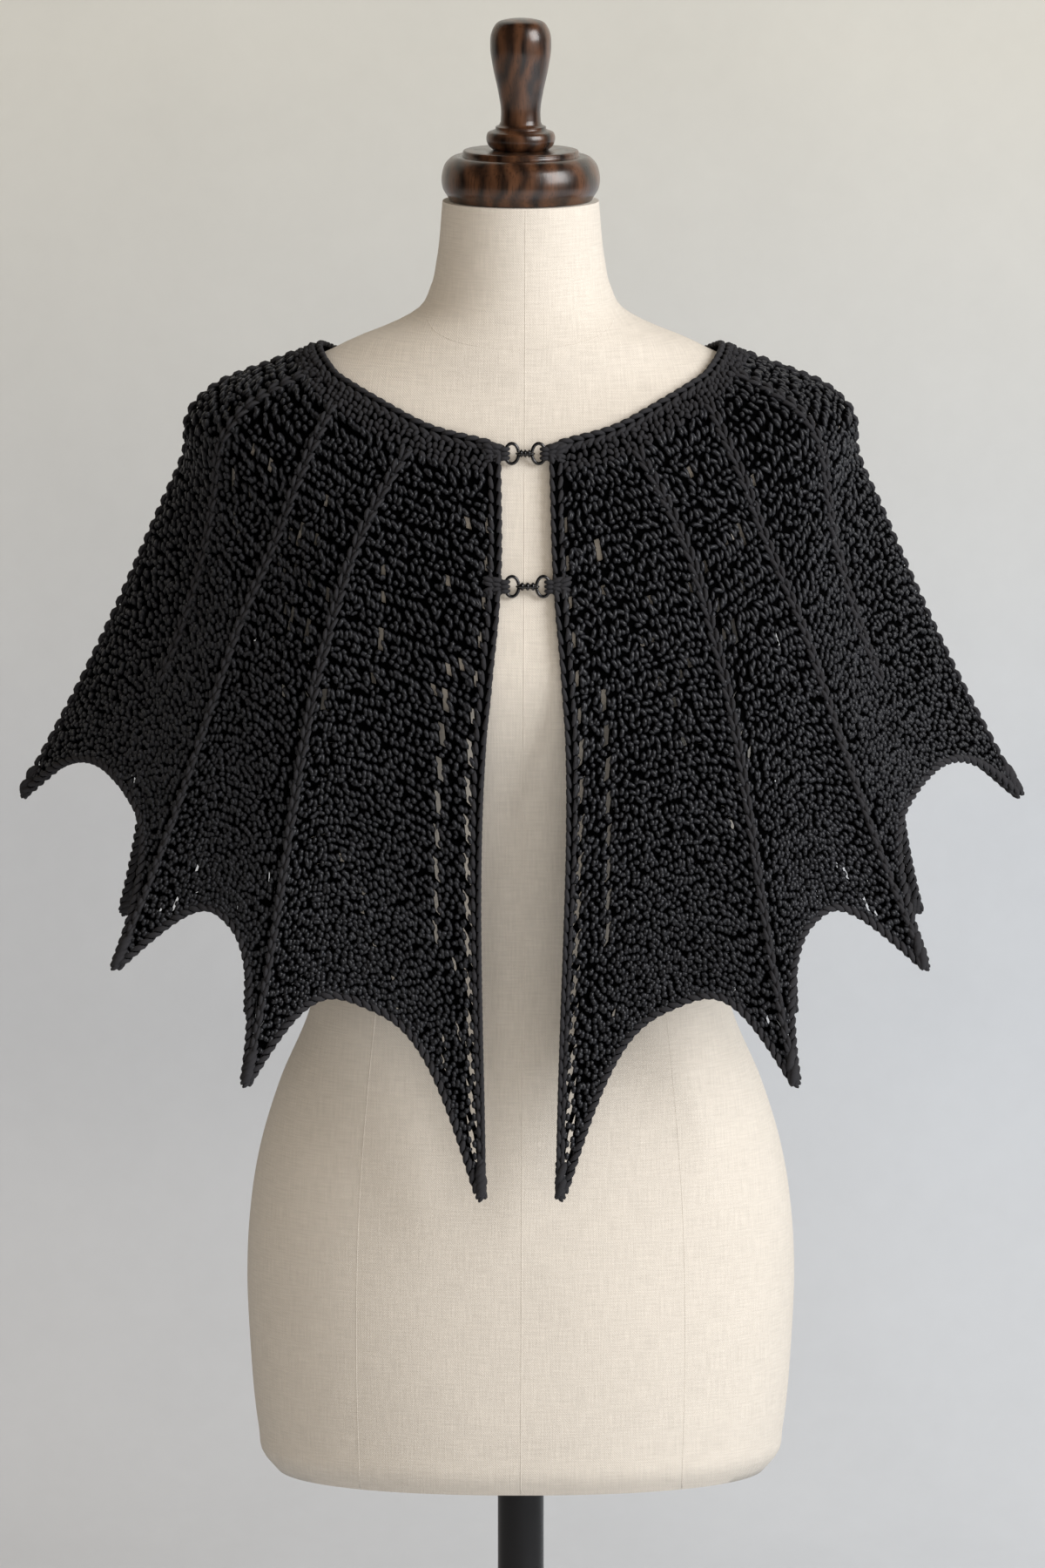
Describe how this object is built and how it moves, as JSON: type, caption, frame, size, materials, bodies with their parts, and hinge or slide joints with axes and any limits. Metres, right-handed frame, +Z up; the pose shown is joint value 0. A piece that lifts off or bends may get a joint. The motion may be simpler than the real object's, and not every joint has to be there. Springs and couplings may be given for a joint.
{
  "type": "crochet capelet on dress form",
  "caption": "Black crochet bat-wing capelet with ribbed points and ring clasps, worn on a linen dress form with a wooden cap and pole stand.",
  "frame": {"origin": "centre of the stand base's underside", "axes": "+Z up, the front of the capelet faces -Y, +X to the viewer's right"},
  "size_m": [0.6004, 0.31, 1.1516],
  "materials": {
    "yarn": "plied black yarn with a soft sheen, crocheted",
    "linen": "plain woven natural linen",
    "wood": "dark stained and polished",
    "black_paint": "satin black",
    "gunmetal": "dark plated, polished"
  },
  "bodies": {
    "root": {"torso": "linen", "neck_cap": "wood", "finial": "wood", "stand_pole": "black_paint", "stand_base": "black_paint", "neckband_left": "yarn", "front_band_left": "yarn", "gore_front_left": "yarn", "gore_front_side_left": "yarn", "gore_shoulder_front_left": "yarn", "gore_shoulder_back_left": "yarn", "gore_back_side_left": "yarn", "gore_back_left": "yarn", "hem_rope_front_left": "yarn", "hem_rope_front_side_left": "yarn", "hem_rope_shoulder_front_left": "yarn", "hem_rope_shoulder_back_left": "yarn", "hem_rope_back_side_left": "yarn", "hem_rope_back_left": "yarn", "neckband_right": "yarn", "front_band_right": "yarn", "gore_front_right": "yarn", "gore_front_side_right": "yarn", "gore_shoulder_front_right": "yarn", "gore_shoulder_back_right": "yarn", "gore_back_side_right": "yarn", "gore_back_right": "yarn", "hem_rope_front_right": "yarn", "hem_rope_front_side_right": "yarn", "hem_rope_shoulder_front_right": "yarn", "hem_rope_shoulder_back_right": "yarn", "hem_rope_back_side_right": "yarn", "hem_rope_back_right": "yarn", "clasp_link_upper": "gunmetal", "clasp_ring_upper_left": "gunmetal", "clasp_loop_upper_left": "yarn", "clasp_ring_upper_right": "gunmetal", "clasp_loop_upper_right": "yarn", "clasp_link_lower": "gunmetal", "clasp_ring_lower_left": "gunmetal", "clasp_loop_lower_left": "yarn", "clasp_ring_lower_right": "gunmetal", "clasp_loop_lower_right": "yarn"}
  },
  "joints": []
}
